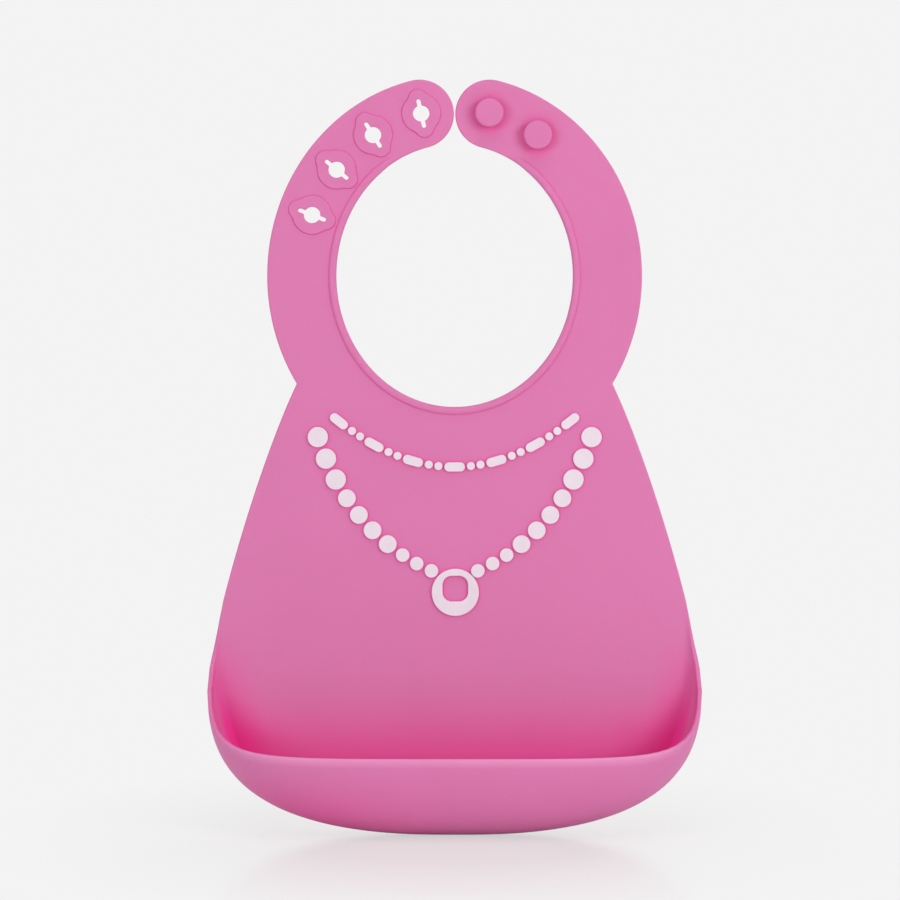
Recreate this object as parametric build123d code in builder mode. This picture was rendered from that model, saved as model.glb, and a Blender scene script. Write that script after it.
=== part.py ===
from build123d import *
import math
import os

# Silicone bib with a catch pocket, in millimetres.
# +X is to the right as seen from the front, +Z is up, and the front looks towards -Y.
# The origin is the middle of the neck opening, halfway through the sheet.
# The pink silicone is one moulding. It is divided here along its folds, where it flexes,
# and at its raised features. The necklace is a second, pale silicone on its front face.

# Sheet and neck band
sheet = 2.0                 # thickness of the silicone
neck_width = 103.4          # neck opening, across
neck_height = 114.8         # neck opening, top to bottom
band_width = 30.0           # from the neck opening to the outer edge
rim_width = 3.4             # raised rim round the neck opening
rim_thickness = 3.8
rim_inner_round = 1.5
rim_outer_round = 0.8
tip_gap = 0.6               # between the two band ends

# Panel
notch_drop = 47.1           # the notches where the band meets the panel lie this far down
hip_half_width = 107.8      # the panel at its widest
hip_drop = 181.0
side_pull = (86.1, -83.4)   # control point that bows the panel's sides out
hip_pull = 22.0             # how far above the hips the sides are already upright
bottom_drop = 240.9         # the lowest point of the pocket
bottom_fullness = 0.709     # how square the lower corners are: 0.55 is round

# Pocket
pocket_top_drop = 142.0     # where the pocket's rims leave the panel
lip_drop = 205.5            # the front lip
pocket_depth = 50.0         # from the mid-plane to the front of the lip
pocket_squareness = 3.5     # how square the pocket is in plan: 2 is an ellipse
floor_back_radius = 20.0    # bend from the panel into the floor
floor_front_reach = 32.0    # the front wall curves in over this depth
corner_radius = 6.0         # bend from the panel into the side walls
corner_share = 0.4          # where the pocket is shallow, the bend takes this much of its depth
first_section = 0.6         # where the pocket's sections start along the panel's side
rim_overrun = 2.0           # the rims' curve levels out this far in front of the lip
last_section = 0.93         # where they end along the lower edge, at the flat floor
plan_steps = 6              # divisions of each half section, and of the walls' outline
side_steps = 4
lower_steps = 8
flap_half_width = 60.0      # the middle of the front wall, which flexes in and out
flap_fold_drop = 226.0
flap_side_gap = 0.3
flap_fold_droop = 1.3       # extra clearance at the ends of the fold, where the wall bows
fold_bead_half_width = 20.0     # the round edge in the middle of the flap's fold

# Folds of the band
root_fold_drop = 22.0       # where the band's arms bend from the panel
tip_fold_angle = 30.0       # where the band's ends bend, as an angle on the band's ellipse
fold_gap = 0.3

# Buttonholes and snap buttons
hole_radius = 3.6
slot_length = 13.0
slot_width = 1.85
hole_angles = (102.6, 122.2, 140.4, 158.6)   # along the left arm, from the tip
pad_radius = 8.65
pad_length = 21.6
pad_lobe_radius = 4.3
pad_blend = 5.0
pad_height = 0.6
button_angles = (76.9, 57.2)                 # along the right arm, from the tip
button_head_radius = 6.2
button_head_height = 1.9
button_head_round = 0.8
stem_clearance = 0.2        # between a button's stem and a buttonhole
neck_play = 0.2             # between the sheet and pad and the button's head

# Necklace
bead_height = 1.1
bead_round = 0.35
chain_gap = 1.15            # between neighbouring beads of the long chain
short_chain = ((-52.0, -62.2), (0.0, -104.6), (52.0, -62.2))
long_chain = ((-59.6, -70.4), (-45.2, -113.0), (-10.4, -128.5))
capsule_length = 9.0
capsule_width = 4.1
dot_radius = 1.8
capsule_pitch = 18.4
dot_places = (0.385, 0.615)  # between two capsules, as shares of the pitch
long_chain_radii = (4.45, 4.45, 4.45, 3.9, 3.9, 3.9, 3.9, 3.0, 3.0, 3.0)
pendant_centre = (0.3, -138.0)
pendant_radius = 10.3
pendant_hole = 11.1
pendant_hole_round = 4.0
pendant_hole_rise = 1.6

# Worked out from the sizes above
half = sheet / 2
inner_a = neck_width / 2
inner_b = neck_height / 2
outer_a = inner_a + band_width
outer_b = inner_b + band_width
middle_a = inner_a + band_width / 2
middle_b = inner_b + band_width / 2
tip_centre_x = (band_width + tip_gap) / 2   # the round band ends are centred this far out
rim_half_thickness = rim_thickness / 2
flap_fold_height = -flap_fold_drop
floor_turn = floor_back_radius - bottom_drop    # the height where the panel bends into the floor
reach = 400.0               # longer than the bib, for cutting tools


def band_point(angle, outwards=0.0):
    """A point of the band, in its middle or outwards from there, at an angle from +X.

    The line across the band at that angle runs in the direction of the same angle.
    """
    across = (middle_a + outwards) * math.cos(math.radians(angle))
    up = (middle_b + outwards) * math.sin(math.radians(angle))
    return across, up


def bezier(points, share):
    """The point of a cubic curve at a share of its run."""
    rest = 1 - share
    weights = (rest**3, 3 * rest**2 * share, 3 * rest * share**2, share**3)
    return tuple(sum(w * p[axis] for w, p in zip(weights, points)) for axis in (0, 1))


tip_angle = math.degrees(math.acos(tip_centre_x / middle_a))
tip_point = (
    tip_centre_x - band_width / 2 * math.sin(math.radians(tip_angle)),
    band_point(tip_angle)[1] + band_width / 2 * math.cos(math.radians(tip_angle)),
)
notch = (outer_a * math.sqrt(1 - (notch_drop / outer_b) ** 2), -notch_drop)
fold_turn = math.radians(tip_fold_angle)
root_fold = Plane((middle_a, 0, -root_fold_drop), x_dir=(1, 0, 0), z_dir=(0, -1, 0))
tip_fold = Plane(
    (band_point(tip_fold_angle)[0], 0, band_point(tip_fold_angle)[1]),
    x_dir=(math.cos(fold_turn), 0, math.sin(fold_turn)),
    z_dir=(0, -1, 0),
)


def side_curve(inset=0.0):
    """Control points of the panel's right side, from the notch to the hip."""
    return (
        (notch[0] - inset, notch[1]),
        (side_pull[0] - inset, side_pull[1]),
        (hip_half_width - inset, -hip_drop + hip_pull),
        (hip_half_width - inset, -hip_drop),
    )


def lower_curve(inset=0.0):
    """Control points of the lower right edge, from the hip to the bottom."""
    width = hip_half_width - inset
    height = bottom_drop - hip_drop - inset
    return (
        (width, -hip_drop),
        (width, -hip_drop - bottom_fullness * height),
        (bottom_fullness * width, -hip_drop - height),
        (0, -hip_drop - height),
    )


def moving_side(fold, depth):
    """Everything beyond a fold, with its edge rounded about the fold's axis."""
    with BuildPart() as side:
        with BuildSketch(Plane(fold.origin, x_dir=(0, 1, 0), z_dir=fold.x_dir)):
            with BuildLine():
                ThreePointArc((-depth, 0), (0, -depth), (depth, 0))
                Polyline((depth, 0), (depth, reach), (-depth, reach), (-depth, 0))
            make_face()
        extrude(amount=reach / 2, both=True)
    return side.part


def still_side(fold, depth):
    """Everything before a fold, short of its axis by the rim's rounding and a gap."""
    with BuildPart() as side:
        with BuildSketch(fold):
            with Locations((0, -rim_half_thickness - fold_gap)):
                Rectangle(reach, reach, align=(Align.CENTER, Align.MAX))
        extrude(amount=depth, both=True)
    return side.part


def beyond_tip():
    """The part of the plane past the centre of the right-hand band end."""
    with BuildSketch(Plane.XZ) as area:
        with Locations(band_point(tip_angle)):
            Rectangle(
                band_width * 4,
                band_width * 2,
                rotation=tip_angle - 90,
                align=(Align.MAX, Align.CENTER),
            )
        Rectangle(reach, reach, align=(Align.MAX, Align.CENTER))
    return area.sketch


def rim_area():
    """The right half of the rim round the neck opening, seen from the front."""
    with BuildSketch(Plane.XZ) as area:
        Ellipse(inner_a + rim_width, inner_b + rim_width)
        Ellipse(inner_a, inner_b, mode=Mode.SUBTRACT)
        add(beyond_tip(), mode=Mode.SUBTRACT)
    return area.sketch


def band_area():
    """The right half of the band with its round end, without the rim."""
    with BuildSketch(Plane.XZ) as area:
        Ellipse(outer_a, outer_b)
        Ellipse(inner_a + rim_width, inner_b + rim_width, mode=Mode.SUBTRACT)
        add(beyond_tip(), mode=Mode.SUBTRACT)
        with BuildLine():
            outer_end = band_point(tip_angle, band_width / 2)
            inner_end = band_point(tip_angle, -band_width / 2)
            ThreePointArc(outer_end, tip_point, inner_end)
            Line(inner_end, outer_end)
        make_face()
    return area.sketch


def half_rim():
    """The right half of the neck rim, rounded along its edges."""
    with BuildPart() as rim:
        with BuildSketch(Plane.XZ):
            add(rim_area())
        extrude(amount=rim_half_thickness, both=True)
        long_edges = rim.edges().sort_by(SortBy.LENGTH)[-4:]
        fillet(long_edges[:2], rim_inner_round)
        long_edges = rim.edges().sort_by(SortBy.LENGTH)[-2:]
        fillet(long_edges, rim_outer_round)
    return rim.part


def body_area(inset=0.0):
    """Panel and pocket seen from the front, from the notches down."""
    side = side_curve(inset)
    lower = lower_curve(inset)
    with BuildSketch(Plane.XZ) as area:
        with BuildLine():
            Bezier(*side)
            Bezier(*lower)
            Line(lower[-1], (0, notch[1]))
            Line((0, notch[1]), side[0])
        make_face()
        mirror(about=Plane.YZ)
    return area.sketch


def below(height):
    """The half of the plane below a height."""
    with BuildSketch(Plane.XZ) as area:
        with Locations((0, height)):
            Rectangle(reach, reach, align=(Align.CENTER, Align.MAX))
    return area.sketch


def panel_area():
    """The flat front with the lower half of the neck band, seen from the front."""
    with BuildSketch(Plane.XZ) as inner:
        add(body_area(corner_radius))
        add(below(floor_turn), mode=Mode.SUBTRACT)
    with BuildSketch(Plane.XZ) as collar:
        Ellipse(outer_a, outer_b)
        add(below(-root_fold_drop - rim_half_thickness - fold_gap), mode=Mode.INTERSECT)
    with BuildSketch(Plane.XZ) as area:
        add(body_area())
        add(below(-pocket_top_drop), mode=Mode.SUBTRACT)
        add(inner.sketch)
        add(collar.sketch)
        Ellipse(inner_a + rim_width, inner_b + rim_width, mode=Mode.SUBTRACT)
    return area.sketch


def pocket_front_reach(height, inset):
    """How far the pocket's front wall stands in front of the mid-plane at a height."""
    reach_here = floor_front_reach - inset
    if height < -lip_drop:
        fall = (-lip_drop - height) / (bottom_drop - lip_drop - inset)
        reach_here *= math.sqrt(max(0.0, 1 - fall**2))
    return pocket_depth - floor_front_reach + reach_here


def pocket_section(width, height, inset):
    """One level section of the pocket: flat at the back, bowed at the front."""
    back = half - inset
    if height < floor_turn:
        bend = floor_back_radius - inset
        drop = min(floor_turn - height, bend)
        back = half - floor_back_radius + math.sqrt(bend**2 - drop**2)
    front = pocket_front_reach(height, inset)
    corner = min(corner_radius - inset, (back + front) * corner_share)
    depth = front + back - corner
    points = []
    for step in range(plan_steps + 1):
        turn = math.pi / 2 * step / plan_steps
        across = width * math.cos(turn) ** (2 / pocket_squareness)
        points.append((across, back - corner - depth * math.sin(turn) ** (2 / pocket_squareness)))
    with BuildSketch(Plane.XY.offset(height)) as section:
        with BuildLine():
            Spline(points, tangents=((0, -1), (-1, 0)))
            RadiusArc((width, back - corner), (width - corner, back), -corner)
            Polyline((width - corner, back), (0, back), (0, back - corner - depth))
        make_face()
        mirror(about=Plane.YZ)
    return section.sketch


def pocket_body(inset):
    """The solid bounded by the pocket's outside, or by its inside when inset by a wall."""
    side = side_curve(inset)
    lower = lower_curve(inset)
    side_run = 1 - first_section
    levels = [bezier(side, first_section + side_run * i / side_steps) for i in range(side_steps)]
    levels += [bezier(lower, last_section * i / lower_steps) for i in range(lower_steps + 1)]
    with BuildPart() as body:
        for width, height in levels:
            add(pocket_section(width, height, inset))
        loft(ruled=True)
    return body.part


def pocket_shell():
    """The pocket's wall, open at the top, with its rims cut along their curve."""
    with BuildPart() as shell:
        add(pocket_body(0.0))
        add(pocket_body(sheet), mode=Mode.SUBTRACT)
        with BuildSketch(Plane.YZ.offset(-reach / 2)):
            with Locations((-pocket_depth - rim_overrun, -pocket_top_drop)):
                Ellipse(pocket_depth + rim_overrun - half, lip_drop - pocket_top_drop)
            with Locations((0, -pocket_top_drop)):
                Rectangle(reach, reach, align=(Align.CENTER, Align.MIN))
        extrude(amount=reach, mode=Mode.SUBTRACT)
    return shell.part


def save(piece, label):
    piece.label = label
    export_step(piece, f"parts/{label}.step")


os.makedirs("parts", exist_ok=True)


# Front panel
with BuildPart() as front_panel:
    with BuildSketch(Plane.XZ.offset(-half)):
        add(panel_area())
    extrude(amount=sheet)
save(front_panel.part, "front_panel")

flap_axis_y = -pocket_front_reach(flap_fold_height, half)
side_wall_depth = pocket_depth / 2      # the flap lies wholly in front of this depth

# Pocket: the trough is its floor, side walls and corners
shell = pocket_shell()
with BuildPart() as pocket_trough:
    add(shell)
    with BuildSketch(Plane.XZ.offset(-half)):
        add(panel_area())
    extrude(amount=sheet, mode=Mode.SUBTRACT)
    with BuildSketch(Plane.XZ.offset(side_wall_depth)):
        with BuildLine():
            end_x = flap_half_width + flap_side_gap
            centre_z = flap_fold_height - half - fold_gap
            end_z = centre_z - flap_fold_droop
            ThreePointArc((-end_x, end_z), (0, centre_z), (end_x, end_z))
            Polyline((end_x, end_z), (end_x, 0), (-end_x, 0), (-end_x, end_z))
        make_face()
    extrude(amount=pocket_depth, mode=Mode.SUBTRACT)
save(pocket_trough.part, "pocket_trough")

# Pocket front: the middle of the front wall, which flexes about its lower edge
with BuildPart() as pocket_front:
    add(shell)
    split(bisect_by=Plane.XY.offset(flap_fold_height), keep=Keep.TOP)
    split(bisect_by=Plane.XZ.offset(side_wall_depth), keep=Keep.TOP)
    split(bisect_by=Plane.YZ.offset(flap_half_width), keep=Keep.BOTTOM)
    split(bisect_by=Plane.YZ.offset(-flap_half_width), keep=Keep.TOP)
    with BuildSketch(Plane.YZ.offset(-fold_bead_half_width)):
        with Locations((flap_axis_y, flap_fold_height)):
            Circle(half)
    extrude(amount=fold_bead_half_width * 2)
save(pocket_front.part, "pocket_front")

# Neck rim across the front
rim_right = half_rim()
rim_left = rim_right.mirror(Plane.YZ)
with BuildPart() as neck_rim_front:
    add(rim_right)
    add(rim_left)
    add(still_side(root_fold, rim_half_thickness), mode=Mode.INTERSECT)
save(neck_rim_front.part, "neck_rim_front")


def band_arm():
    """The right arm of the band, between its two folds."""
    with BuildPart() as arm:
        with BuildSketch(Plane.XZ):
            add(band_area())
        extrude(amount=sheet, both=True)
        add(moving_side(root_fold, half), mode=Mode.INTERSECT)
        add(still_side(tip_fold, half), mode=Mode.INTERSECT)
    return arm.part


def band_tip():
    """The right end of the band, beyond its upper fold."""
    with BuildPart() as tip:
        with BuildSketch(Plane.XZ):
            add(band_area())
        extrude(amount=sheet, both=True)
        add(moving_side(tip_fold, half), mode=Mode.INTERSECT)
    return tip.part


def rim_arm():
    """The neck rim along the right arm."""
    with BuildPart() as rim:
        add(rim_right)
        add(moving_side(root_fold, rim_half_thickness), mode=Mode.INTERSECT)
        add(still_side(tip_fold, rim_half_thickness), mode=Mode.INTERSECT)
    return rim.part


def rim_tip():
    """The neck rim along the right end."""
    with BuildPart() as rim:
        add(rim_right)
        add(moving_side(tip_fold, rim_half_thickness), mode=Mode.INTERSECT)
    return rim.part


def across_band(angle):
    """A place in the middle of the band, turned so that its X runs across the band."""
    x, z = band_point(angle)
    return Location((x, z, 0), (0, 0, angle))


def hole_area(angle):
    """A buttonhole across the band: a round hole with a slot to each side."""
    with BuildSketch(Plane.XZ) as area:
        with Locations(across_band(angle)):
            Circle(hole_radius)
            SlotOverall(slot_length, slot_width)
    return area.sketch


def pad_area(angle):
    """The raised pad round a buttonhole: a round middle with a smaller lobe at each end."""
    lobe_centre = pad_length / 2 - pad_lobe_radius
    centre = band_point(angle)
    with BuildSketch(Plane.XZ) as area:
        with Locations(across_band(angle)):
            Circle(pad_radius)
            with Locations((lobe_centre, 0), (-lobe_centre, 0)):
                Circle(pad_lobe_radius)
        corners = [v for v in area.vertices() if math.dist((v.X, v.Y), centre) < pad_radius + half]
        fillet(corners, pad_blend)
        add(hole_area(angle), mode=Mode.SUBTRACT)
    return area.sketch


# Left arm and tip, with buttonholes
tip_holes = hole_angles[:3]
arm_holes = hole_angles[3:]
with BuildPart() as left_band_arm:
    add(band_arm().mirror(Plane.YZ))
    with BuildSketch(Plane.XZ.offset(-half)):
        for angle in arm_holes:
            add(hole_area(angle))
    extrude(amount=sheet, mode=Mode.SUBTRACT)
save(left_band_arm.part, "left_band_arm")

with BuildPart() as left_band_tip:
    add(band_tip().mirror(Plane.YZ))
    with BuildSketch(Plane.XZ.offset(-half)):
        for angle in tip_holes:
            add(hole_area(angle))
    extrude(amount=sheet, mode=Mode.SUBTRACT)
save(left_band_tip.part, "left_band_tip")

for number, angle in enumerate(hole_angles, start=1):
    with BuildPart() as pad:
        with BuildSketch(Plane.XZ.offset(half)):
            add(pad_area(angle))
        extrude(amount=pad_height)
    save(pad.part, f"buttonhole_pad_{number}")

# Right arm and tip, with snap buttons
with BuildPart() as right_band_arm:
    add(band_arm())
save(right_band_arm.part, "right_band_arm")

with BuildPart() as right_band_tip:
    add(band_tip())
save(right_band_tip.part, "right_band_tip")

stem_radius = hole_radius - stem_clearance
stem_height = sheet + pad_height + neck_play
for number, angle in enumerate(button_angles, start=1):
    place = band_point(angle)
    with BuildPart() as button:
        with BuildSketch(Plane.XZ.offset(half)):
            with Locations(place):
                Circle(stem_radius)
        extrude(amount=stem_height)
        with BuildSketch(Plane.XZ.offset(half + stem_height)):
            with Locations(place):
                Circle(button_head_radius)
        extrude(amount=button_head_height)
        fillet(button.faces().sort_by(Axis.Y)[0].edges(), button_head_round)
    save(button.part, f"snap_button_{number}")

# Neck rim along the arms
for side in ("left", "right"):
    with BuildPart() as arm_rim:
        add(rim_arm() if side == "right" else rim_arm().mirror(Plane.YZ))
    save(arm_rim.part, f"neck_rim_{side}_arm")
    with BuildPart() as tip_rim:
        add(rim_tip() if side == "right" else rim_tip().mirror(Plane.YZ))
    save(tip_rim.part, f"neck_rim_{side}_tip")


def raised_bead(outline, label):
    """A flat-topped bead standing on the panel's front, with a softened edge."""
    with BuildPart() as bead:
        with BuildSketch(Plane.XZ.offset(half)):
            add(outline)
        extrude(amount=bead_height)
        fillet(bead.faces().sort_by(Axis.Y)[0].edges(), bead_round)
    save(bead.part, label)


def along(curve, distance):
    """A place on a curve at a distance along it, turned to the curve's run."""
    point = curve.position_at(distance, position_mode=PositionMode.LENGTH)
    run = curve.tangent_at(distance, position_mode=PositionMode.LENGTH)
    return Location((point.X, point.Y, 0), (0, 0, math.degrees(math.atan2(run.Y, run.X))))


def dot_area(place, radius):
    with BuildSketch(Plane.XZ) as area:
        with Locations(place):
            Circle(radius)
    return area.sketch


# Short chain: seven long beads with two dots between each pair
short_curve = Bezier(*short_chain)
chain_start = short_curve.length / 2 - 3 * capsule_pitch
dot_number = 0
for number in range(7):
    place = along(short_curve, chain_start + number * capsule_pitch)
    with BuildSketch(Plane.XZ) as capsule:
        with Locations(place):
            SlotOverall(capsule_length, capsule_width)
    raised_bead(capsule.sketch, f"short_chain_bar_{number + 1}")
    if number == 6:
        break
    for share in dot_places:
        dot_number += 1
        place = along(short_curve, chain_start + (number + share) * capsule_pitch)
        raised_bead(dot_area(place, dot_radius), f"short_chain_dot_{dot_number}")

# Long chain: ten round beads down each side, smaller towards the pendant
long_curve = Bezier(*long_chain)
distance = 0.0
for number, radius in enumerate(long_chain_radii, start=1):
    if number > 1:
        distance += long_chain_radii[number - 2] + chain_gap + radius
    outline = dot_area(along(long_curve, distance), radius)
    raised_bead(outline, f"long_chain_left_{number}")
    raised_bead(mirror(outline, about=Plane.YZ), f"long_chain_right_{number}")

# Ring pendant
with BuildSketch(Plane.XZ) as pendant:
    with Locations(pendant_centre):
        Circle(pendant_radius)
    with Locations((pendant_centre[0], pendant_centre[1] + pendant_hole_rise)):
        RectangleRounded(pendant_hole, pendant_hole, pendant_hole_round, mode=Mode.SUBTRACT)
raised_bead(pendant.sketch, "ring_pendant")
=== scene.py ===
import math

import bpy
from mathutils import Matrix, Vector


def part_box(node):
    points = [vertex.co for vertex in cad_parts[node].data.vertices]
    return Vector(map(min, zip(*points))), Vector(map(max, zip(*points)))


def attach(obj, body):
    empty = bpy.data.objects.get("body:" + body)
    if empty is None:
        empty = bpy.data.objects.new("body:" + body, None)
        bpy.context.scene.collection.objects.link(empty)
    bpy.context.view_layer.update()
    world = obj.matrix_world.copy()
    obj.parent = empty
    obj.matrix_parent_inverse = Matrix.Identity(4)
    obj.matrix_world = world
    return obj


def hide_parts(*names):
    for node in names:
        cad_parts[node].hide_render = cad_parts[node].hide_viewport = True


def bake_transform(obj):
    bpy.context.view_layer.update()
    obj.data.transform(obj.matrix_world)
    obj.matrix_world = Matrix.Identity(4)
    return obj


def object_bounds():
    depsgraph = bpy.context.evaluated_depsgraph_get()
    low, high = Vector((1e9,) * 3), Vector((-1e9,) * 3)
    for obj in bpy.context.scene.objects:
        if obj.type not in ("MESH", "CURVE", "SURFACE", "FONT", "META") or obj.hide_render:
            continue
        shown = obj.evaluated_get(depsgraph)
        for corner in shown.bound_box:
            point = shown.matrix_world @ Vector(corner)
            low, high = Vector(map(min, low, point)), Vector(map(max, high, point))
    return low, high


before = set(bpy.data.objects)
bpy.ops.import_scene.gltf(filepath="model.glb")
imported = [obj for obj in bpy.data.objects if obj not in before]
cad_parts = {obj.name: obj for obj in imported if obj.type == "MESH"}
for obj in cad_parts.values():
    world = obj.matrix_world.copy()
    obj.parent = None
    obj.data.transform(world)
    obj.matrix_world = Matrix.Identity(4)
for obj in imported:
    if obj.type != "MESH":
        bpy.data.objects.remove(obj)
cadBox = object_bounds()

mm = 0.001
smoothAngle = math.radians(50)   # faces that meet at less than this are shaded as one surface


# Small helpers

def selectOnly(piece):
    bpy.ops.object.select_all(action="DESELECT")
    piece.select_set(True)
    bpy.context.view_layer.objects.active = piece


def startEditing(piece):
    selectOnly(piece)
    bpy.ops.object.mode_set(mode="EDIT")
    bpy.ops.mesh.select_all(action="SELECT")


def stopEditing():
    bpy.ops.object.mode_set(mode="OBJECT")


def selectWhere(piece, parts, rule):
    # starts editing with only the vertices or polygons selected that follow the rule
    startEditing(piece)
    bpy.ops.mesh.select_all(action="DESELECT")
    stopEditing()
    for part in getattr(piece.data, parts):
        part.select = rule(part)
    bpy.ops.object.mode_set(mode="EDIT")


def applyModifier(piece, kind, **settings):
    selectOnly(piece)
    modifier = piece.modifiers.new(kind, kind)
    for setting, value in settings.items():
        setattr(modifier, setting, value)
    bpy.ops.object.modifier_apply(modifier=modifier.name)


def roundEdges(piece, width, segments, angle=60, clamp=False):
    # rounds the edges where the surface turns by more than the angle
    applyModifier(piece, "BEVEL", width=width * mm, segments=segments, limit_method="ANGLE",
                  angle_limit=math.radians(angle), use_clamp_overlap=clamp)


def cutBy(piece, cutter):
    applyModifier(piece, "BOOLEAN", object=cutter, operation="DIFFERENCE", solver="EXACT")


def addFlatShape(name, points, y):
    # a filled circle whose points are moved out to the outline, x and z in millimetres
    bpy.ops.object.select_all(action="DESELECT")
    bpy.ops.mesh.primitive_circle_add(vertices=len(points), radius=0.05, fill_type="NGON")
    piece = bpy.context.active_object
    piece.name = name
    for vertex, (x, z) in zip(piece.data.vertices, points):
        vertex.co = (x * mm, y * mm, z * mm)
    return piece


def addShapedGrid(name, columns, rows, place):
    # a grid whose points are moved to place(column, row), in millimetres
    bpy.ops.object.select_all(action="DESELECT")
    bpy.ops.mesh.primitive_grid_add(x_subdivisions=columns, y_subdivisions=rows, size=1)
    piece = bpy.context.active_object
    piece.name = name
    for vertex in piece.data.vertices:
        column = round((vertex.co.x + 0.5) * columns)
        row = round((vertex.co.y + 0.5) * rows)
        vertex.co = Vector(place(column, row)) * mm
    return piece


def faceOutwards(piece):
    startEditing(piece)
    bpy.ops.mesh.normals_make_consistent(inside=False)
    stopEditing()


def mergePoints(piece, distance):
    startEditing(piece)
    bpy.ops.mesh.remove_doubles(threshold=distance * mm)
    stopEditing()


def thicken(piece, depth):
    startEditing(piece)
    bpy.ops.mesh.extrude_region_move(TRANSFORM_OT_translate={"value": (0, depth * mm, 0)})
    stopEditing()
    faceOutwards(piece)


def trim(piece, point, outwards):
    # cuts off what lies beyond a plane and closes the cut
    startEditing(piece)
    bpy.ops.mesh.bisect(plane_co=point, plane_no=outwards, use_fill=True, clear_outer=True, threshold=0.000001)
    stopEditing()


def cutAcross(piece, point, direction):
    # adds a row of edges where the sheet has to bend
    startEditing(piece)
    bpy.ops.mesh.bisect(plane_co=point, plane_no=direction, threshold=0.000001)
    stopEditing()


def finishSurface(piece):
    # flat faces stay flat beside their rounded edges
    selectOnly(piece)
    bpy.ops.object.shade_smooth_by_angle(angle=smoothAngle)
    applyModifier(piece, "WEIGHTED_NORMAL", mode="FACE_AREA", weight=80, keep_sharp=True)


def smoothStep(amount):
    amount = min(1.0, max(0.0, amount))
    return amount * amount * (3 - 2 * amount)


def fadeBelow(value, fade):
    # 0 above the fade's start, rising smoothly to 1 over its run below it
    start, run = fade
    return smoothStep((start - value) / run)


def anglesBetween(first, last, count):
    return [first + (last - first) * i / (count - 1) for i in range(count)]


def arcPoints(centre, radius, first, last, steps):
    x, z = centre
    return [(x + radius * math.cos(a), z + radius * math.sin(a)) for a in anglesBetween(first, last, steps + 1)]


def bezierPoint(points, share):
    rest = 1 - share
    weights = (rest ** 3, 3 * rest ** 2 * share, 3 * rest * share ** 2, share ** 3)
    return tuple(sum(w * p[axis] for w, p in zip(weights, points)) for axis in (0, 1))


def shareAtHeight(heightAt, height):
    # where a line that falls from share 0 to share 1 passes a height
    low, high = 0.0, 1.0
    for step in range(40):
        middle = (low + high) / 2
        if heightAt(middle) > height:
            low = middle
        else:
            high = middle
    return low


# Materials

def hexColour(text):
    parts = [int(text[i:i + 2], 16) / 255 for i in (0, 2, 4)]
    return tuple(c / 12.92 if c <= 0.04045 else ((c + 0.055) / 1.055) ** 2.4 for c in parts) + (1.0,)


def addNode(tree, kind, settings=None, links=None):
    node = tree.nodes.new(kind)
    for key, value in (settings or {}).items():
        if isinstance(key, int) or key in node.inputs:
            node.inputs[key].default_value = value
        else:
            setattr(node, key, value)
    for key, socket in (links or {}).items():
        tree.links.new(socket, node.inputs[key])
    return node


def newMaterial(name):
    material = bpy.data.materials.new(name)
    material.use_nodes = True
    tree = material.node_tree
    tree.nodes.clear()
    return material, tree


pinkFinish = {
    "colour": "d97db0",
    "paintedShadeColour": "ee3398",      # painted shade down in the pocket and at the feet of raised edges
    "cloudColour": "d579ab",
    "lipHighlightColour": "e392bf",       # painted highlight on the thin front lip of the pocket
    "roughness": 0.52,
    "ior": 1.41,
    "grain": 0.45,               # mm, the matt surface of the mould
    "grainDepth": 0.2,
    "cloudSize": 45.45,          # mm, slow drifts of the colour
    "creaseReach": 7.0,          # mm over which painted shade deepens the colour beside a raised edge
    "creaseShade": 0.85,
    "glowDepth": 1.2,            # mm that light passes through the rubber
}

# Moulded silicone rubber, matt: a soft broad sheen and an even colour, with painted shade that deepens it in folds,
# for the light that passes through the rubber and bounces between the walls
pinkSilicone, tree = newMaterial("mouldedSiliconePink")
coords = addNode(tree, "ShaderNodeTexCoord")
clouds = addNode(tree, "ShaderNodeTexNoise", {"Scale": 1 / (pinkFinish["cloudSize"] * mm), "Detail": 2.0},
                 {"Vector": coords.outputs["Object"]})
cloudMix = addNode(tree, "ShaderNodeMix", {"data_type": "RGBA"}, {0: clouds.outputs["Fac"]})
cloudMix.inputs[6].default_value = hexColour(pinkFinish["colour"])
cloudMix.inputs[7].default_value = hexColour(pinkFinish["cloudColour"])
# painted shade, deeper in the pocket and beside raised edges, but not where only the floor is near
foldShade = addNode(tree, "ShaderNodeAttribute", {"attribute_type": "GEOMETRY", "attribute_name": "foldShade"})
closeBy = addNode(tree, "ShaderNodeAmbientOcclusion", {"samples": 8, "Distance": pinkFinish["creaseReach"] * mm})
crease = addNode(tree, "ShaderNodeMapRange",
                 {"From Min": 0.94, "From Max": 0.4, "To Min": 0.0, "To Max": pinkFinish["creaseShade"]},
                 {"Value": closeBy.outputs["AO"]})
underside = addNode(tree, "ShaderNodeAttribute", {"attribute_type": "GEOMETRY", "attribute_name": "underside"})
openly = addNode(tree, "ShaderNodeMath", {"operation": "SUBTRACT", 0: 1.0}, {1: underside.outputs["Fac"]})
heldCrease = addNode(tree, "ShaderNodeMath", {"operation": "MULTIPLY"}, {0: crease.outputs[0], 1: openly.outputs[0]})
paintedShadeAmount = addNode(tree, "ShaderNodeMath", {"operation": "MAXIMUM"},
                   {0: foldShade.outputs["Fac"], 1: heldCrease.outputs[0]})
paintedShadeMix = addNode(tree, "ShaderNodeMix", {"data_type": "RGBA"}, {0: paintedShadeAmount.outputs[0], 6: cloudMix.outputs[2]})
paintedShadeMix.inputs[7].default_value = hexColour(pinkFinish["paintedShadeColour"])
# painted highlight on the pocket's front lip
paintedLipHighlight = addNode(tree, "ShaderNodeAttribute", {"attribute_type": "GEOMETRY", "attribute_name": "paintedLipHighlight"})
lipHighlightMix = addNode(tree, "ShaderNodeMix", {"data_type": "RGBA"}, {0: paintedLipHighlight.outputs["Fac"], 6: paintedShadeMix.outputs[2]})
lipHighlightMix.inputs[7].default_value = hexColour(pinkFinish["lipHighlightColour"])
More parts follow.
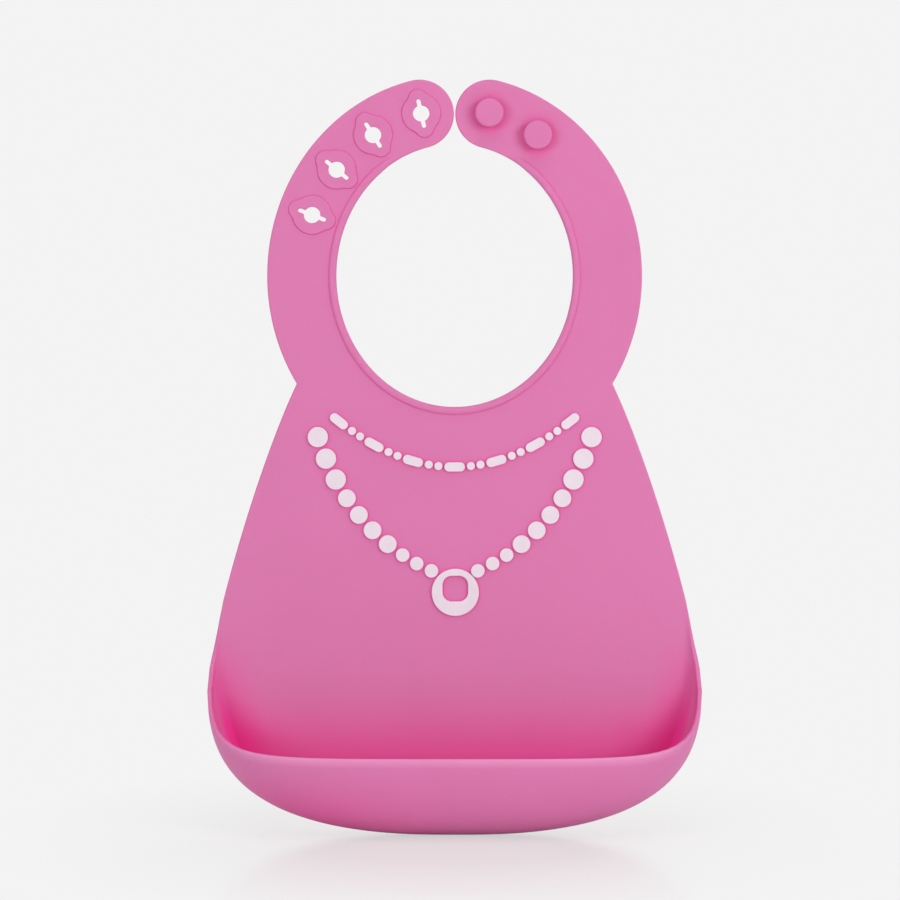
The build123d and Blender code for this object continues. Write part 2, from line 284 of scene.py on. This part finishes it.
grain = addNode(tree, "ShaderNodeTexNoise", {"Scale": 1 / (pinkFinish["grain"] * mm), "Detail": 3.0},
                {"Vector": coords.outputs["Object"]})
bump = addNode(tree, "ShaderNodeBump", {"Strength": 0.06, "Distance": pinkFinish["grainDepth"] * mm},
               {"Height": grain.outputs["Fac"]})
roughMix = addNode(tree, "ShaderNodeMapRange",
                   {"To Min": pinkFinish["roughness"] - 0.05, "To Max": pinkFinish["roughness"] + 0.05},
                   {"Value": grain.outputs["Fac"]})
shader = addNode(tree, "ShaderNodeBsdfPrincipled",
                 {"IOR": pinkFinish["ior"], "Specular IOR Level": 0.22, "Subsurface Weight": 0.3,
                  "Subsurface Radius": (1.0, 0.35, 0.6), "Subsurface Scale": pinkFinish["glowDepth"] * mm},
                 {"Base Color": lipHighlightMix.outputs[2], "Roughness": roughMix.outputs[0], "Normal": bump.outputs[0]})
addNode(tree, "ShaderNodeOutputMaterial", links={"Surface": shader.outputs[0]})

paleFinish = {
    "colour": "e9dde6",
    "shadeColour": "e0d0dd",
    "roughness": 0.45,
    "ior": 1.41,
    "grain": 0.4,
    "grainDepth": 0.2,
    "cloudSize": 6.25,
}

# Second-shot silicone rubber, pale: moulded over the pink and smooth, and tinted a little by it
paleSilicone, tree = newMaterial("mouldedSiliconePale")
coords = addNode(tree, "ShaderNodeTexCoord")
clouds = addNode(tree, "ShaderNodeTexNoise", {"Scale": 1 / (paleFinish["cloudSize"] * mm), "Detail": 2.0},
                 {"Vector": coords.outputs["Object"]})
paleMix = addNode(tree, "ShaderNodeMix", {"data_type": "RGBA"}, {0: clouds.outputs["Fac"]})
paleMix.inputs[6].default_value = hexColour(paleFinish["colour"])
paleMix.inputs[7].default_value = hexColour(paleFinish["shadeColour"])
grain = addNode(tree, "ShaderNodeTexNoise", {"Scale": 1 / (paleFinish["grain"] * mm), "Detail": 2.0},
                {"Vector": coords.outputs["Object"]})
bump = addNode(tree, "ShaderNodeBump", {"Strength": 0.04, "Distance": paleFinish["grainDepth"] * mm},
               {"Height": grain.outputs["Fac"]})
shader = addNode(tree, "ShaderNodeBsdfPrincipled",
                 {"IOR": paleFinish["ior"], "Roughness": paleFinish["roughness"], "Specular IOR Level": 0.35},
                 {"Base Color": paleMix.outputs[2], "Normal": bump.outputs[0]})
addNode(tree, "ShaderNodeOutputMaterial", links={"Surface": shader.outputs[0]})


def giveFinish(piece, material):
    piece.data.materials.clear()
    piece.data.materials.append(material)


# The neck band's lines

band = {
    "innerAcross": 51.7,      # half the neck opening
    "innerUp": 57.4,
    "width": 30.0,
    "thickness": 2.0,
    "edgeRound": 0.8,
    "rootSeam": -31.0,        # where the arms' pieces start, as an angle on the band's ellipse
    "armSeam": 8.0,
    "seamOverrun": 2.5,       # pieces are drawn this much too long and trimmed at their seam
    "panelEnd": -27.0,        # so is the panel
    "tipAngle": 76.74,        # where the round ends are centred
    "tipFold": 30.0,
    "sidePoints": 60,         # along each edge of an arm or end
    "endSteps": 32,           # round an end
}
half = band["thickness"] / 2


def bandPoint(angle, outwards=0.0, side=1):
    # outwards is 0 at the neck opening's edge and the band's width at its outer edge
    turn = math.radians(angle)
    across, up = band["innerAcross"] + outwards, band["innerUp"] + outwards
    return side * across * math.cos(turn), up * math.sin(turn)


def acrossPlane(angle, side, offset=0.0):
    # a point on the line across the band at an angle, and the direction along the band there
    turn = math.radians(angle)
    x, z = bandPoint(angle, band["width"] / 2, side)
    along = Vector((-side * math.sin(turn), 0, math.cos(turn)))
    return Vector((x, 0, z)) * mm + along * offset * mm, along


# Panel and pocket

bib = {
    "notch": (68.82, -47.1),
    "sidePull": (86.1, -83.4),
    "hip": (cadBox[1][0] / mm, -181.0),
    "hipPull": 22.0,
    "bottom": -240.9,
    "fullness": 0.709,        # how square the lower corners are
    "pocketTop": -142.0,
    "rimDrop": 63.5,          # from there down to the front lip
    "rimReach": 52.0,
    "cornerRadius": 5.0,      # this and the next three are to the middle of the wall
    "frontDepth": 49.0,
    "frontCurve": 31.0,
    "floorRadius": 19.0,
    "cornerShare": 0.4,       # where the pocket is shallow, the corner takes this much of its depth
    "squareness": 3.5,
    "frontTaper": 0.0008,     # share of the width lost for each mm towards the front
    "foldInset": 4.2,         # low down, the fold of the side walls lies this far in,
    "foldFade": (-148.0, 52.0),
    "foldDepth": 12.0,        # and the wall flares out over this depth,
    "leastFlare": 3.0,        # or over less where the rim is nearer
    "lipLean": 0.6,           # the front wall curls in by this much, over the last lipHeight below its lip
    "lipHeight": 3.2,
    "floorLevel": 0.95,       # the outline's share that reaches the flat floor
    "rows": 34,
    "flatColumns": 7,
    "cornerTurns": (10, 22, 36, 54, 72, 90),
    "sideColumns": 26,
    "evenLevel": 0.62,        # the level where the side columns are evenly spaced
    "rimLevel": 0.55,         # the level whose depth sets where a column meets the rim
    "sidePoints": 30,         # along the panel's edge above the pocket
}
hipX, hipZ = bib["hip"]
bottomZ = bib["bottom"]
floorTurn = bottomZ + bib["floorRadius"] + half


def sideLine(inset):
    # control points of the panel's edge from the notch to the hip
    points = (bib["notch"], bib["sidePull"], (hipX, hipZ + bib["hipPull"]), (hipX, hipZ))
    return tuple((x - inset, z) for x, z in points)


def lowerLine(inset):
    # and from the hip to the middle of the bottom
    width, height = hipX - inset, hipZ - bottomZ - inset
    return ((width, hipZ), (width, hipZ - bib["fullness"] * height),
            (bib["fullness"] * width, hipZ - height), (0, hipZ - height))


def shareAtPocketTop(inset):
    return shareAtHeight(lambda share: bezierPoint(sideLine(inset), share)[1], bib["pocketTop"])


topShare = shareAtPocketTop(half)


def levelPoint(level):
    # half width and height of the pocket's outline, from the top of the pocket at 0 to the floor at 1
    if level < 0.5:
        return bezierPoint(sideLine(half), topShare + (1 - topShare) * level * 2)
    return bezierPoint(lowerLine(half), bib["floorLevel"] * (level - 0.5) * 2)


def rimHeight(depth):
    # height of the pocket's rim where it is this far in front of the panel
    share = 1 - depth / bib["rimReach"]
    return bib["pocketTop"] - bib["rimDrop"] * math.sqrt(max(0.0, 1 - share * share))


def rimDepth(height):
    # how far in front of the panel the rim is, at a height
    drop = min(1.0, (bib["pocketTop"] - height) / bib["rimDrop"])
    return bib["rimReach"] * (1 - math.sqrt(max(0.0, 1 - drop * drop)))


def rimTurn(height):
    # how far the corner has turned forwards at the rim, at a height
    depth = rimDepth(height)
    if depth >= bib["cornerRadius"]:
        return math.pi / 2
    return math.acos(max(0.0, 1 - depth / bib["cornerRadius"]))


def wallPoint(kind, amount, level):
    # a point of the wall: kind is flat, corner or side
    width, height = levelPoint(level)
    back = 0.0
    if height < floorTurn:
        drop = min(floorTurn - height, bib["floorRadius"])
        back = -bib["floorRadius"] + math.sqrt(bib["floorRadius"] ** 2 - drop ** 2)
    reach = bib["frontCurve"]
    lipZ = bib["pocketTop"] - bib["rimDrop"]
    if height < lipZ:
        fall = (lipZ - height) / (lipZ - bottomZ - half)
        reach *= math.sqrt(max(0.0, 1 - fall * fall))
    front = bib["frontDepth"] - bib["frontCurve"] + reach
    corner = min(bib["cornerRadius"], (back + front) * bib["cornerShare"])
    flatEnd = width - corner + (1 - math.sin(rimTurn(height))) * (corner + half)
    if kind == "flat":
        return flatEnd * amount, back, height
    if kind == "corner":
        return flatEnd + corner * math.sin(amount), back - corner * (1 - math.cos(amount)), height
    power = 2 / bib["squareness"]
    across = width * max(0.0, math.cos(amount)) ** power
    return across, back - corner - (front + back - corner) * math.sin(amount) ** power, height


def evenSideTurns():
    # turns that divide the wall's run from the corner to the middle of the front evenly
    fine = anglesBetween(0.0, math.pi / 2, 2001)
    points = [Vector(wallPoint("side", turn, bib["evenLevel"])) for turn in fine]
    runs = [0.0]
    for first, second in zip(points, points[1:]):
        runs.append(runs[-1] + (second - first).length)
    turns = []
    for column in range(1, bib["sideColumns"] + 1):
        goal = runs[-1] * column / bib["sideColumns"]
        turns.append(next((turn for turn, run in zip(fine, runs) if run >= goal), fine[-1]))
    turns[-1] = math.pi / 2
    return turns


wallColumns = [("flat", i / bib["flatColumns"]) for i in range(bib["flatColumns"] + 1)]
wallColumns += [("corner", math.radians(turn)) for turn in bib["cornerTurns"]]
wallColumns += [("side", turn) for turn in evenSideTurns()]
topLevels = []
for kind, amount in wallColumns:
    if kind == "flat":
        topLevels.append(0.0)
        continue
    depth = -wallPoint(kind, amount, bib["rimLevel"])[1]
    topHeight = rimHeight(min(depth, bib["rimReach"]))
    topLevels.append(shareAtHeight(lambda level: levelPoint(level)[1], topHeight))
columnsPerSide = len(wallColumns) - 1


def foldInset(height):
    return bib["foldInset"] * fadeBelow(height, bib["foldFade"])


def flareDepth(height):
    # the side walls have flared out to the full width by the depth of their rim
    return max(bib["leastFlare"], min(bib["foldDepth"], rimDepth(height)))


def pocketPlace(column, row):
    # a point of the wall with its flare and its lip, and narrowing a little towards the front
    side = 1 if column >= columnsPerSide else -1
    index = abs(column - columnsPerSide)
    kind, amount = wallColumns[index]
    level = topLevels[index] + (1 - topLevels[index]) * row / bib["rows"]
    x, y, z = wallPoint(kind, amount, level)
    if kind == "side":
        rim = wallPoint(kind, amount, topLevels[index])[2]
        near = max(0.0, 1 - (rim - z) / bib["lipHeight"])
        y += bib["lipLean"] * near * near * math.sin(amount)
    inset = foldInset(z) * (1 - smoothStep(-y / flareDepth(z)))
    return side * x * (1 + y * bib["frontTaper"] - inset / hipX), y, z


pocket = addShapedGrid("pocketSheet", columnsPerSide * 2, bib["rows"], pocketPlace)
mergePoints(pocket, 0.01)
lowest = levelPoint(1.0)[1]
selectWhere(pocket, "vertices", lambda point: point.co.z < (lowest + 0.02) * mm)
bpy.ops.mesh.edge_face_add()   # closes the floor
stopEditing()

topColumns = range(columnsPerSide - bib["flatColumns"], columnsPerSide + bib["flatColumns"] + 1)
topLine = [(x, z) for x, y, z in (pocketPlace(column, 0) for column in topColumns)]
sideShares = anglesBetween(shareAtPocketTop(0), 0.0, bib["sidePoints"] + 1)[1:]
rightSide = [bezierPoint(sideLine(0), share) for share in sideShares]
rightSide += [bandPoint(a, band["width"]) for a in anglesBetween(band["rootSeam"], band["panelEnd"], 3)]
neckLine = [bandPoint(a) for a in anglesBetween(band["panelEnd"], -180 - band["panelEnd"], 85)]
panelLine = topLine + rightSide + neckLine + [(-x, z) for x, z in reversed(rightSide)]
panel = addFlatShape("panelSheet", panelLine, 0.0)

bpy.ops.object.select_all(action="DESELECT")
panel.select_set(True)
pocket.select_set(True)
bpy.context.view_layer.objects.active = pocket
bpy.ops.object.join()
bibBody = pocket
bibBody.name = "bibBody"
mergePoints(bibBody, 0.005)
faceOutwards(bibBody)
applyModifier(bibBody, "SOLIDIFY", thickness=band["thickness"] * mm, offset=0.0, use_even_offset=True, use_rim=True)
faceOutwards(bibBody)
roundEdges(bibBody, band["edgeRound"], 4)
for side in (1, -1):
    trim(bibBody, *acrossPlane(band["rootSeam"], side))
finishSurface(bibBody)


# painted shade in the pocket and under its curve
pocketShade = {
    "middle": (0.0, -25.0, -190.0),   # of the pocket's inside, where its inner faces look
    "floorFade": (-166.0, 52.0),      # each fade has a start and the run below it
    "floorPower": 1.7,
    "floorShade": 0.62,
    "cornerFade": (-150.0, 50.0),
    "cornerShade": 0.75,
    "cornerReach": 15.0,              # from the fold of the side wall
    "cornerSpread": 18.0,             # added to the reach low down
    "spreadFade": (-180.0, 25.0),
    "foldSlope": 0.17,                # how fast the fold moves in above the hips
    "deepest": 0.95,
    "wallFade": (-145.0, 40.0),
    "wallShade": 0.36,
    "cornerTurn": (-2.0, 3.5),        # in depth, from the panel's shade to the wall's
    "underFade": (-206.0, 30.0),      # painted shade outside, where the pocket curves under
    "underDepth": (-12.0, 20.0),
    "underAcross": (10.0, 90.0),
    "underShade": (0.04, 0.38),       # all over, and more on the left
    "floorNear": (-200.0, 20.0),      # outside, where what it stands on is near
    "lipDepth": (-20.0, 25.0),
}


def facing(normal, direction):
    return min(1.0, max(0.0, normal.dot(direction.normalized()) * 4))


def shadeInPocket(place, normal):
    # how much painted shade deepens the colour at a point: most in the corners and along the floor, inside only
    shade = pocketShade
    x, y, z = place / mm
    inside = facing(normal, Vector(shade["middle"]) - place / mm)
    toFold = hipX - foldInset(z) - max(0.0, z - hipZ) * shade["foldSlope"] - abs(x)
    down = fadeBelow(z, shade["floorFade"]) ** shade["floorPower"] * shade["floorShade"]
    cornerReach = shade["cornerReach"] + shade["cornerSpread"] * fadeBelow(z, shade["spreadFade"])
    corner = shade["cornerShade"] * smoothStep(1 - toFold / cornerReach) * fadeBelow(z, shade["cornerFade"])
    onPanel = min(shade["deepest"], down + corner)
    onWall = shade["wallShade"] * fadeBelow(z, shade["wallFade"])
    least, more = shade["underShade"]
    # painted shade outside, low down where the pocket curves under, more on the left
    under = fadeBelow(z, shade["underFade"]) * fadeBelow(y, shade["underDepth"])
    under *= least + more * fadeBelow(x, shade["underAcross"])
    return inside * (onPanel + (onWall - onPanel) * fadeBelow(y, shade["cornerTurn"])) + (1 - inside) * under


def undersideAt(place, normal):
    # outside and low down, where the floor is near and the painted crease shade is held off
    outwards = place / mm - Vector(pocketShade["middle"])
    return fadeBelow(place.z / mm, pocketShade["floorNear"]) * facing(normal, outwards)


def highlightOnLip(place, normal):
    # painted highlight on the thin front lip, on its top and outer face, for the light it lets through and catches
    # from above
    x, y, z = place / mm
    fromRim = rimHeight(min(bib["rimReach"], max(0.0, -y))) - z
    outside = min(1.0, max(0.0, 0.6 - normal.y * 2))
    return outside * smoothStep(1.15 - fromRim / bib["lipHeight"]) * fadeBelow(y, pocketShade["lipDepth"])


def paintShade(piece, name, rule):
    values = [rule(vertex.co, vertex.normal) for vertex in piece.data.vertices]
    piece.data.attributes.new(name, "FLOAT", "POINT").data.foreach_set("value", values)


# painted shade in the pocket, a painted highlight on its lip, and where painted crease shade is held off
paintShade(bibBody, "foldShade", shadeInPocket)
paintShade(bibBody, "paintedLipHighlight", highlightOnLip)
paintShade(bibBody, "underside", undersideAt)
giveFinish(bibBody, pinkSilicone)
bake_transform(bibBody)
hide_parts("front_panel", "pocket_trough", "pocket_front")
print("panel and pocket made,", len(bibBody.data.polygons), "faces")


# Arms and ends of the neck band

arms = {
    "rootBend": (-29.0, -15.0),    # heights between which an arm bends
    "rootCuts": 12,
    "tipBend": (-1.8, 3.0),        # before and beyond the end's fold, along the band
    "tipCuts": 8,
}


def bandOutline(firstAngle, lastAngle, side, roundEnd):
    outer = [bandPoint(a, band["width"], side) for a in anglesBetween(firstAngle, lastAngle, band["sidePoints"])]
    inner = [bandPoint(a, 0.0, side) for a in anglesBetween(lastAngle, firstAngle, band["sidePoints"])]
    end = []
    if roundEnd:
        turn = math.radians(lastAngle)
        radius = band["width"] / 2
        x, z = bandPoint(lastAngle, radius, side)
        halfCircle = arcPoints((0, 0), radius, turn, turn + math.pi, band["endSteps"])
        end = [(x + side * across, z + up) for across, up in halfCircle[1:-1]]
    return outer + end + inner


for side, name, body in ((-1, "left", "left_arm"), (1, "right", "right_arm")):
    firstAngle, lastAngle = band["rootSeam"] - band["seamOverrun"], band["armSeam"] + band["seamOverrun"]
    arm = addFlatShape(name + "Arm", bandOutline(firstAngle, lastAngle, side, False), -half)
    thicken(arm, band["thickness"])
    roundEdges(arm, band["edgeRound"], 4)
    point, along = acrossPlane(band["rootSeam"], side)
    trim(arm, point, -along)
    trim(arm, *acrossPlane(band["armSeam"], side))
    low, high = arms["rootBend"]
    for step in range(arms["rootCuts"] + 1):
        cutAcross(arm, Vector((0, 0, low + (high - low) * step / arms["rootCuts"])) * mm, (0, 0, 1))
    finishSurface(arm)
    giveFinish(arm, pinkSilicone)
    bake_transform(arm)
    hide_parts(f"{name}_band_arm")
print("arms made")


# Buttonholes and their pads

buttonhole = {
    "radius": 3.6,
    "slotLength": 13.0,
    "slotWidth": 1.85,
    "holeRound": 0.25,
    "padRadius": 8.65,
    "lobeRadius": 4.3,
    "lobeCentre": 6.5,
    "blendRadius": 5.0,
    "padHeight": 0.6,
    "padRound": 0.15,
    "padRoot": 0.2,           # how deep the pad starts inside the band
    "footWidth": 0.4,         # the pad's edge slopes out to its foot
    "footShade": 0.8,         # painted shade at the foot,
    "footShadeShare": 0.75,   # fading out over this share of the pad's height
    "cutterLength": 12.0,
}


def keyholeLine():
    width, radius = buttonhole["slotWidth"] / 2, buttonhole["radius"]
    straight = buttonhole["slotLength"] / 2 - width
    meet = math.asin(width / radius)
    slotEnd = arcPoints((straight, 0), width, 0, math.pi / 2, 4)
    return mirrorQuarter(slotEnd + arcPoints((0, 0), radius, meet, math.pi / 2, 8))


def padLine():
    # a round middle and two round lobes, blended by hollow arcs
    main, lobe, centre, blend = (buttonhole[k] for k in ("padRadius", "lobeRadius", "lobeCentre", "blendRadius"))
    x = ((main + blend) ** 2 - (lobe + blend) ** 2 + centre ** 2) / (2 * centre)
    z = math.sqrt((main + blend) ** 2 - x * x)
    lobeEnd = math.atan2(z, x - centre)
    mainStart = math.atan2(z, x)
    hollow = arcPoints((x, z), blend, math.atan2(-z, centre - x), math.atan2(-z, -x), 6)
    quarter = arcPoints((centre, 0), lobe, 0, lobeEnd, 8) + hollow[1:-1]
    return mirrorQuarter(quarter + arcPoints((0, 0), main, mainStart, math.pi / 2, 12))


def mirrorQuarter(quarter):
    # all four quarters of an outline from the one between its long axis and its short axis
    top = quarter + [(-x, z) for x, z in reversed(quarter[:-1])]
    return top + [(x, -z) for x, z in reversed(top[1:-1])]


def placeLine(points, centre, turn):
    across, up = math.cos(turn), math.sin(turn)
    return [(centre[0] + x * across - z * up, centre[1] + x * up + z * across) for x, z in points]


def padPlace(number):
    # middle of a buttonhole and the direction across the band there
    low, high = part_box(f"buttonhole_pad_{number}")
    x, z = (low[0] + high[0]) / 2 / mm, (low[2] + high[2]) / 2 / mm
    reach = band["width"] / 2
    return (x, z), math.atan2(z / (band["innerUp"] + reach), x / (band["innerAcross"] + reach))


holeCutters = []
for number in (1, 2, 3, 4):
    centre, turn = padPlace(number)
    length = buttonhole["cutterLength"]
    cutter = addFlatShape(f"holeCutter{number}", placeLine(keyholeLine(), centre, turn), -length / 2)
    thicken(cutter, length)
    holeCutters.append(cutter)
    pad = addFlatShape(f"buttonholePad{number}", placeLine(padLine(), centre, turn), -half)
    thicken(pad, buttonhole["padRoot"])
    selectWhere(pad, "polygons", lambda face: face.normal.y < -0.9)
    bpy.ops.mesh.inset(thickness=buttonhole["footWidth"] * mm, depth=buttonhole["padHeight"] * mm)
    stopEditing()
    cutBy(pad, cutter)
    roundEdges(pad, buttonhole["padRound"], 3, angle=40, clamp=True)
    finishSurface(pad)
    # painted shade at the pad's foot
    foot = buttonhole["padHeight"] * buttonhole["footShadeShare"]
    paintShade(pad, "foldShade",
               lambda place, normal: max(0.0, 1 - (-half - place.y / mm) / foot) * buttonhole["footShade"])
    giveFinish(pad, pinkSilicone)
    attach(pad, "left_arm" if number == 4 else "left_tip")
    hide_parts(f"buttonhole_pad_{number}")
print("buttonhole pads made")

for side, name in ((-1, "left"), (1, "right")):
    tipOutline = bandOutline(band["armSeam"] - band["seamOverrun"], band["tipAngle"], side, True)
    tip = addFlatShape(name + "Tip", tipOutline, -half)
    thicken(tip, band["thickness"])
    roundEdges(tip, band["edgeRound"], 4)
    if side == -1:
        for cutter in holeCutters:
            cutBy(tip, cutter)
        roundEdges(tip, buttonhole["holeRound"], 2, clamp=True)
    point, along = acrossPlane(band["armSeam"], side)
    trim(tip, point, -along)
    first, last = arms["tipBend"]
    for step in range(arms["tipCuts"] + 1):
        cutAcross(tip, *acrossPlane(band["tipFold"], side, first + (last - first) * step / arms["tipCuts"]))
    finishSurface(tip)
    giveFinish(tip, pinkSilicone)
    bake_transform(tip)
    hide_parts(f"{name}_band_tip")
for cutter in holeCutters:
    bpy.data.objects.remove(cutter)
print("band ends made")


# The raised rim round the neck opening

rim = {
    "middle": 1.6,          # from the opening's edge
    "halfWidth": 1.8,
    "halfThickness": 1.9,
    "squareness": 2.6,
    "fadeStart": 50.0,      # it sinks into the band before the round ends
    "fadeEnd": 66.0,
    "endHalfWidth": 1.2,
    "endHalfThickness": 0.85,
    "around": 20,
    "frontColumns": 110,
    "armColumns": 60,
    "tipColumns": 90,
}


def squarer(value):
    # rounds a circle out towards a square
    return math.copysign(abs(value) ** (2 / rim["squareness"]), value)


def addRim(name, firstAngle, lastAngle, side, count):
    def rimPlace(column, row):
        angle = firstAngle + (lastAngle - firstAngle) * column / count
        height = fadeBelow(angle, (rim["fadeEnd"], rim["fadeEnd"] - rim["fadeStart"]))
        turn = 2 * math.pi * row / rim["around"]
        halfWidth = rim["endHalfWidth"] + (rim["halfWidth"] - rim["endHalfWidth"]) * height
        halfThickness = rim["endHalfThickness"] + (rim["halfThickness"] - rim["endHalfThickness"]) * height
        x, z = bandPoint(angle, rim["middle"] + squarer(math.cos(turn)) * halfWidth, side)
        return x, squarer(math.sin(turn)) * halfThickness, z

    piece = addShapedGrid(name, count, rim["around"], rimPlace)
    mergePoints(piece, 0.002)
    startEditing(piece)
    bpy.ops.mesh.fill_holes(sides=0)
    stopEditing()
    faceOutwards(piece)
    bpy.ops.object.shade_smooth_by_angle(angle=smoothAngle)
    giveFinish(piece, pinkSilicone)
    return piece


rimFront = addRim("neckRimFront", -180 - band["rootSeam"], band["rootSeam"], 1, rim["frontColumns"])
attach(rimFront, "bib")
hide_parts("neck_rim_front")
for side, name in ((-1, "left"), (1, "right")):
    armRim = addRim(name + "NeckRimArm", band["rootSeam"], band["armSeam"], side, rim["armColumns"])
    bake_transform(armRim)
    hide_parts(f"neck_rim_{name}_arm")
    tipRim = addRim(name + "NeckRimTip", band["armSeam"], rim["fadeEnd"], side, rim["tipColumns"])
    first, last = (acrossPlane(band["tipFold"], side, d)[0] for d in arms["tipBend"])
    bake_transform(tipRim)
    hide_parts(f"neck_rim_{name}_tip")
print("neck rim made")


# Snap buttons

snapButton = {
    # radius and depth, from the head's face over its edge and down the stem to the foot in the band
    "profile": ((4.9, -5.70), (5.5, -5.66), (5.95, -5.45), (6.17, -5.1), (6.2, -4.7), (6.17, -4.2),
                (5.95, -3.92), (5.6, -3.8), (3.9, -3.8), (3.5, -3.65), (3.4, -3.3), (3.4, -1.9),
                (3.5, -1.5), (3.8, -1.15), (4.4, -0.98), (4.4, -0.7)),
    "vertices": 64,
}


def addTurned(name, centre, profile, vertices):
    # rings of radius and depth, each extruded from the last
    bpy.ops.object.select_all(action="DESELECT")
    radius, y = profile[0]
    bpy.ops.mesh.primitive_circle_add(vertices=vertices, radius=radius * mm, fill_type="NGON",
                                      location=(centre[0], y * mm, centre[1]), rotation=(math.pi / 2, 0, 0))
    piece = bpy.context.active_object
    piece.name = name
    bpy.ops.object.transform_apply(location=True, rotation=True, scale=True)
    startEditing(piece)
    for nextRadius, nextY in profile[1:]:
        bpy.ops.mesh.extrude_region_move(TRANSFORM_OT_translate={"value": (0, (nextY - y) * mm, 0)})
        grow = nextRadius / radius
        bpy.ops.transform.resize(value=(grow, 1, grow), center_override=(centre[0], nextY * mm, centre[1]))
        radius, y = nextRadius, nextY
    stopEditing()
    faceOutwards(piece)
    return piece


for number in (1, 2):
    low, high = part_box(f"snap_button_{number}")
    centre = ((low[0] + high[0]) / 2, (low[2] + high[2]) / 2)
    button = addTurned(f"snapButton{number}", centre, snapButton["profile"], snapButton["vertices"])
    finishSurface(button)
    giveFinish(button, pinkSilicone)
    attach(button, "right_tip")
    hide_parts(f"snap_button_{number}")
print("snap buttons made")


# Necklace

for nodeName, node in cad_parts.items():
    if nodeName.startswith(("short_chain", "long_chain", "ring_pendant")):
        for slot in node.material_slots:
            slot.material = paleSilicone
print("necklace finished")


# Floor, lamps and camera

studio = {
    "backdrop": "f3f3f3",
    "floorZ": cadBox[0][2] - 0.0002,
    "floorSize": 6.0,
    "floorColour": "f6f6f6",
    "floorSheen": 0.16,           # roughness of its reflection
    "sheenShare": 0.48,
    "boardReach": (0.2, 0.25),    # metres across and in depth, beyond which the floor is plain backdrop
    "boardShare": 0.38,           # how strongly the board, with its shadow and reflection, shows beside the bib
    "worldStrength": 0.42,
    "cameraPlace": (-0.002, -1.2, -0.076),
    "lens": 110.1,
    # place, target, size, power, and whether it shows in reflections
    "lamps": {
        "keyLamp": ((1.0, -1.1, 0.22), (0, 0, -0.08), 0.6, 8.6, False),
        "fillLamp": ((-1.0, -1.2, 0.12), (0, 0, -0.08), 0.7, 5.8, False),
        "backLamp": ((0.5, 1.3, 0.5), (0, 0, -0.08), 0.9, 7.0, False),
        "topLamp": ((0.1, -0.45, 1.2), (0, 0, -0.1), 0.6, 3.5, True),
    },
}

bpy.ops.object.select_all(action="DESELECT")
bpy.ops.mesh.primitive_plane_add(size=studio["floorSize"], location=(0, 0, studio["floorZ"]))
floor = bpy.context.active_object
floor.name = "studioFloor"

# Pale lacquered board: plain, with a faint blurred reflection near the bib
floorLacquer, tree = newMaterial("lacqueredBoardPale")
coords = addNode(tree, "ShaderNodeTexCoord")
across, along = studio["boardReach"]
fadeMap = addNode(tree, "ShaderNodeMapping", {"Scale": (1 / across, 1 / along, 1.0)},
                  {"Vector": coords.outputs["Object"]})
fade = addNode(tree, "ShaderNodeTexGradient", {"gradient_type": "SPHERICAL"}, {"Vector": fadeMap.outputs[0]})
boardAmount = addNode(tree, "ShaderNodeMapRange",
                     {"From Min": 0.0, "From Max": 0.6, "To Min": 0.0, "To Max": studio["boardShare"]},
                     {"Value": fade.outputs["Fac"]})
diffuse = addNode(tree, "ShaderNodeBsdfDiffuse", {"Color": hexColour(studio["floorColour"])})
gloss = addNode(tree, "ShaderNodeBsdfGlossy", {"Roughness": studio["floorSheen"], "Color": (1, 1, 1, 1)})
surface = addNode(tree, "ShaderNodeMixShader", {0: studio["sheenShare"]},
                  {1: diffuse.outputs[0], 2: gloss.outputs[0]})
glow = addNode(tree, "ShaderNodeEmission", {"Color": hexColour(studio["backdrop"]), "Strength": 1.0})
seen = addNode(tree, "ShaderNodeMixShader", {},
               {0: boardAmount.outputs[0], 1: glow.outputs[0], 2: surface.outputs[0]})
ray = addNode(tree, "ShaderNodeLightPath")
final = addNode(tree, "ShaderNodeMixShader", {},
                {0: ray.outputs["Is Camera Ray"], 1: diffuse.outputs[0], 2: seen.outputs[0]})
addNode(tree, "ShaderNodeOutputMaterial", links={"Surface": final.outputs[0]})
floor.data.materials.append(floorLacquer)

world = bpy.data.worlds.new("studioWorld")
world.use_nodes = True
bpy.context.scene.world = world
tree = world.node_tree
tree.nodes.clear()
ray = addNode(tree, "ShaderNodeLightPath")
direct = addNode(tree, "ShaderNodeMath", {"operation": "MAXIMUM"},
                 {0: ray.outputs["Is Camera Ray"], 1: ray.outputs["Is Glossy Ray"]})
softLight = addNode(tree, "ShaderNodeBackground", {"Color": (1, 1, 1, 1), "Strength": studio["worldStrength"]})
backdrop = addNode(tree, "ShaderNodeBackground", {"Color": hexColour(studio["backdrop"]), "Strength": 1.0})
worldMix = addNode(tree, "ShaderNodeMixShader", {},
                   {0: direct.outputs[0], 1: softLight.outputs[0], 2: backdrop.outputs[0]})
addNode(tree, "ShaderNodeOutputWorld", links={"Surface": worldMix.outputs[0]})

for name, (place, target, size, power, glossy) in studio["lamps"].items():
    bpy.ops.object.light_add(type="AREA", location=place)
    lamp = bpy.context.active_object
    lamp.name = name
    lamp.data.size = size
    lamp.data.energy = power
    lamp.visible_glossy = glossy
    lamp.rotation_euler = (Vector(target) - Vector(place)).to_track_quat("-Z", "Y").to_euler()

bpy.ops.object.camera_add(location=studio["cameraPlace"], rotation=(math.pi / 2, 0, 0))
camera = bpy.context.active_object
camera.name = "studioCamera"
camera.data.lens = studio["lens"]
camera.data.clip_end = 20.0
bpy.context.scene.camera = camera
bpy.context.scene.view_settings.view_transform = "Standard"
print("studio set")
